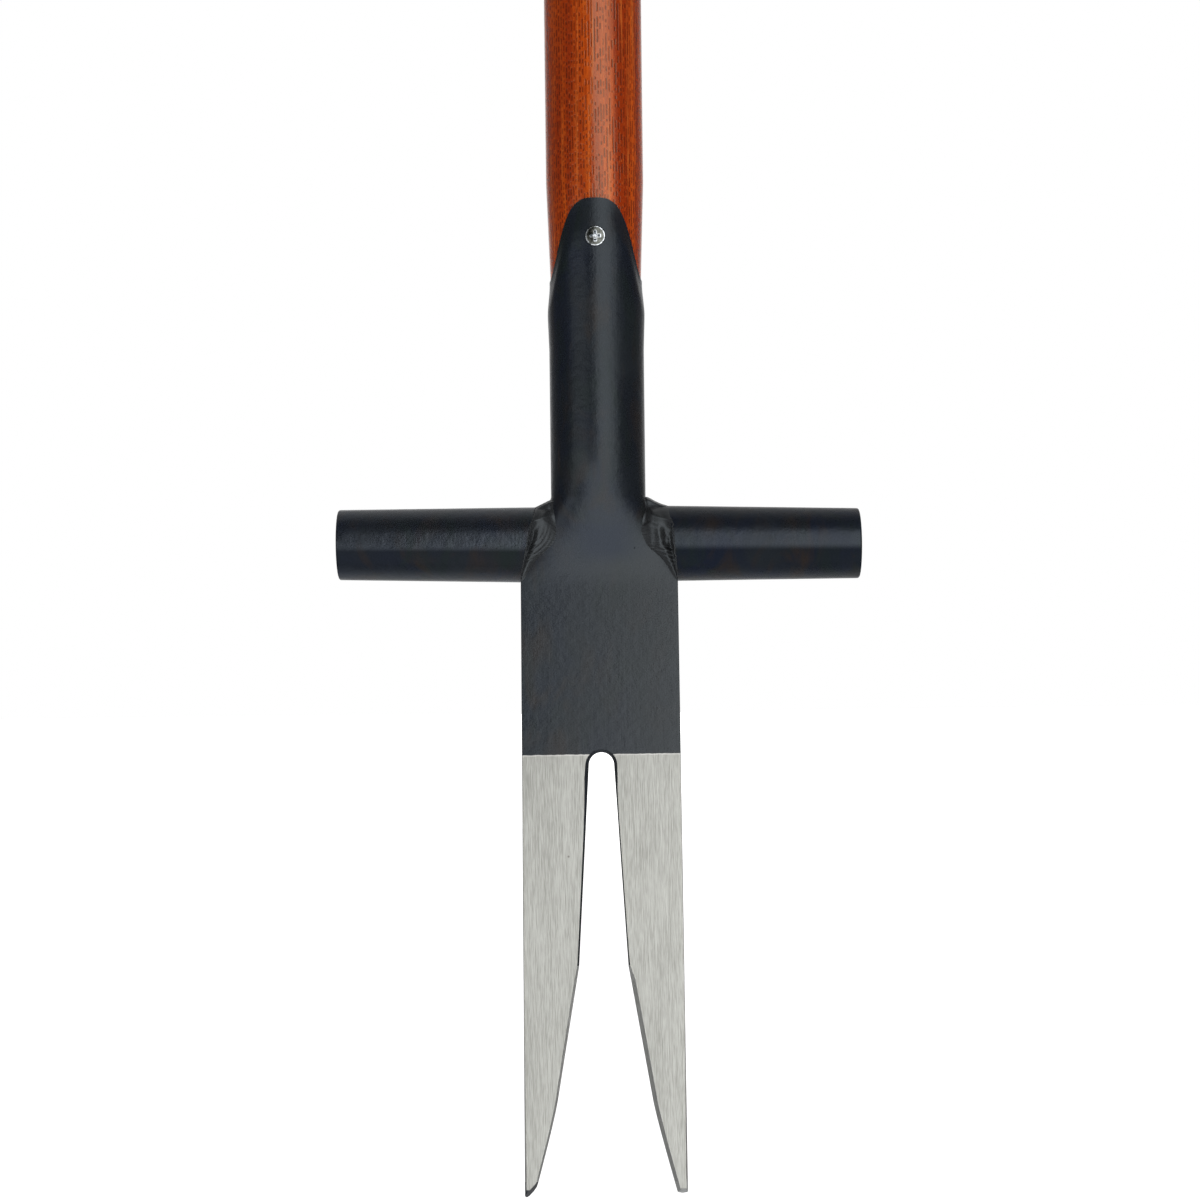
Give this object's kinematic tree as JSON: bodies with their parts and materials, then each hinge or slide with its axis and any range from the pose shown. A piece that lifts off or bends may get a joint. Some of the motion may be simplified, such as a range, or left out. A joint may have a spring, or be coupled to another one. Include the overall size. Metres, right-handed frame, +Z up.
{
  "type": "dock weeder",
  "caption": "Long-handled weeding fork with a forked steel blade, welded tubular foot treads, a socketed wooden shaft and a T grip.",
  "frame": {"origin": "centre of the bounding box's base: on the shaft's axis, level with the tips of the tines", "axes": "+Z up along the shaft, X along the foot treads and across the blade, the front face looks along -Y"},
  "size_m": [0.2194, 0.0444, 1.1559],
  "materials": {
    "head_steel": "satin blue-black coating, ground bright below the top of the notch",
    "tread_steel": "satin blue-black coating",
    "weld_steel": "rippled weld under the same coating",
    "shaft_wood": "red-brown stained ash, glossy varnish",
    "grip_wood": "red-brown stained ash, glossy varnish",
    "wedge_wood": "varnished hardwood",
    "pin_steel": "filed flush",
    "screw_zinc": "bright zinc plate"
  },
  "bodies": {
    "root": {"forked_head": "head_steel", "left_foot_tread": "tread_steel", "right_foot_tread": "tread_steel", "left_tread_weld": "weld_steel", "right_tread_weld": "weld_steel", "ash_shaft": "shaft_wood", "t_grip": "grip_wood", "grip_wedge": "wedge_wood", "grip_pin": "pin_steel", "front_socket_screw": "screw_zinc", "back_socket_screw": "screw_zinc"}
  },
  "joints": []
}
